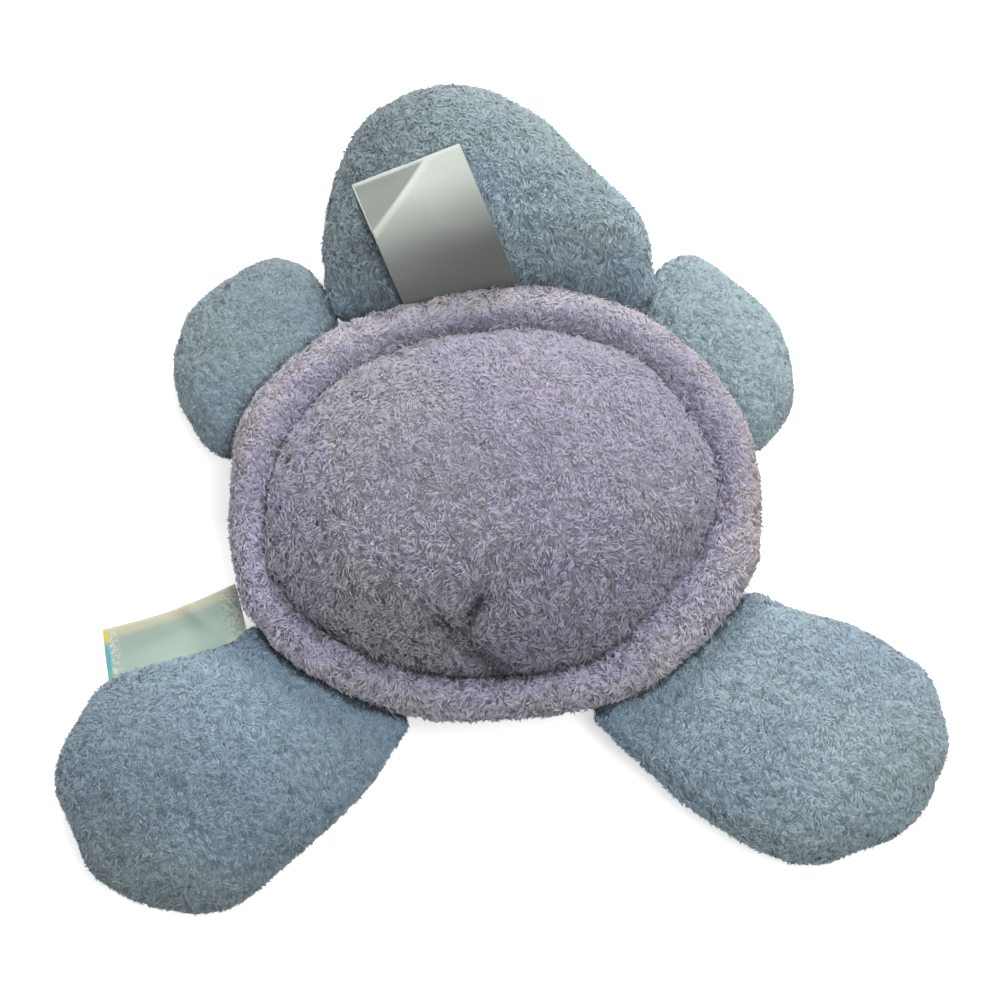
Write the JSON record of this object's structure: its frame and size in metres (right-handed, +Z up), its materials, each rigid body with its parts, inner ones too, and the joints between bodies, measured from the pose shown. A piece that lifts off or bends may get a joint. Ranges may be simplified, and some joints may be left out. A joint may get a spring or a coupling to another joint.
{
  "type": "plush turtle",
  "caption": "Small plush turtle lying on its belly, with a domed padded shell, a stuffed head, flippers and legs, and sewn-in ribbon labels.",
  "frame": {"origin": "centre of the flat patch of the belly on which the turtle rests", "axes": "+Z up through the domed shell, +Y towards the head, +X towards the turtle's right side seen from above with the head at the top"},
  "size_m": [0.2201, 0.2116, 0.06],
  "materials": {
    "lilac_plush": "short curly plush pile",
    "lilac_rim_plush": "short curly plush pile",
    "blue_plush": "short curly plush pile",
    "polyester_filling": "loose fibre",
    "lilac_thread": "sewing thread",
    "dark_embroidery_thread": "embroidery thread",
    "silver_satin": "satin ribbon",
    "mint_satin": "satin ribbon"
  },
  "bodies": {
    "shell": {"shell_dome_cover": "lilac_plush", "shell_rim_cover": "lilac_rim_plush", "shell_rim_wadding": "polyester_filling", "shell_stuffing": "polyester_filling", "belly_cover": "blue_plush", "shell_channel_stitching": "lilac_thread", "closing_seam_stitching": "lilac_thread"},
    "head": {"head_back_cover": "blue_plush", "head_face_cover": "blue_plush", "head_stuffing": "polyester_filling", "left_eye": "dark_embroidery_thread", "right_eye": "dark_embroidery_thread", "mouth_stitching": "dark_embroidery_thread"},
    "front_left_flipper": {"front_left_flipper_top_cover": "blue_plush", "front_left_flipper_bottom_cover": "blue_plush", "front_left_flipper_stuffing": "polyester_filling"},
    "front_right_flipper": {"front_right_flipper_top_cover": "blue_plush", "front_right_flipper_bottom_cover": "blue_plush", "front_right_flipper_stuffing": "polyester_filling"},
    "rear_left_leg": {"rear_left_leg_top_cover": "blue_plush", "rear_left_leg_bottom_cover": "blue_plush", "rear_left_leg_stuffing": "polyester_filling"},
    "rear_right_leg": {"rear_right_leg_top_cover": "blue_plush", "rear_right_leg_bottom_cover": "blue_plush", "rear_right_leg_stuffing": "polyester_filling"},
    "care_label": {"care_label": "silver_satin"},
    "side_tag": {"side_tag": "mint_satin"}
  },
  "joints": [
    {"name": "neck_nod", "type": "hinge", "parent": "shell", "child": "head", "pos_m": [0, 0.0457, 0.0145], "axis": [1, 0, 0], "range_deg": [-35, 5], "stiffness_Nm_per_rad": 0.08},
    {"name": "front_left_flap", "type": "hinge", "parent": "shell", "child": "front_left_flipper", "pos_m": [-0.04676, 0.02757, 0.0145], "axis": [0.6691, 0.7431, 0], "range_deg": [-35, 15], "stiffness_Nm_per_rad": 0.015},
    {"name": "front_right_flap", "type": "hinge", "parent": "shell", "child": "front_right_flipper", "pos_m": [0.04676, 0.02757, 0.0145], "axis": [0.6691, -0.7431, 0], "range_deg": [-35, 15], "stiffness_Nm_per_rad": 0.015},
    {"name": "rear_left_flap", "type": "hinge", "parent": "shell", "child": "rear_left_leg", "pos_m": [-0.03929, -0.03414, 0.0145], "axis": [-0.8191, 0.5736, 0], "range_deg": [-60, 15], "stiffness_Nm_per_rad": 0.08},
    {"name": "rear_right_flap", "type": "hinge", "parent": "shell", "child": "rear_right_leg", "pos_m": [0.04125, -0.03269, 0.0145], "axis": [-0.788, -0.6157, 0], "range_deg": [-60, 15], "stiffness_Nm_per_rad": 0.08},
    {"name": "care_label_lift", "type": "hinge", "parent": "head", "child": "care_label", "pos_m": [-0.01, 0.0554, 0.02491], "axis": [0.9796, 0.0943, 0.1772], "range_deg": [0, 30]},
    {"name": "side_tag_bend", "type": "hinge", "parent": "rear_left_leg", "child": "side_tag", "pos_m": [-0.07882, -0.03742, 0.01247], "axis": [0.9541, 0.2994, 0], "range_deg": [-40, 40], "stiffness_Nm_per_rad": 0.0005}
  ]
}
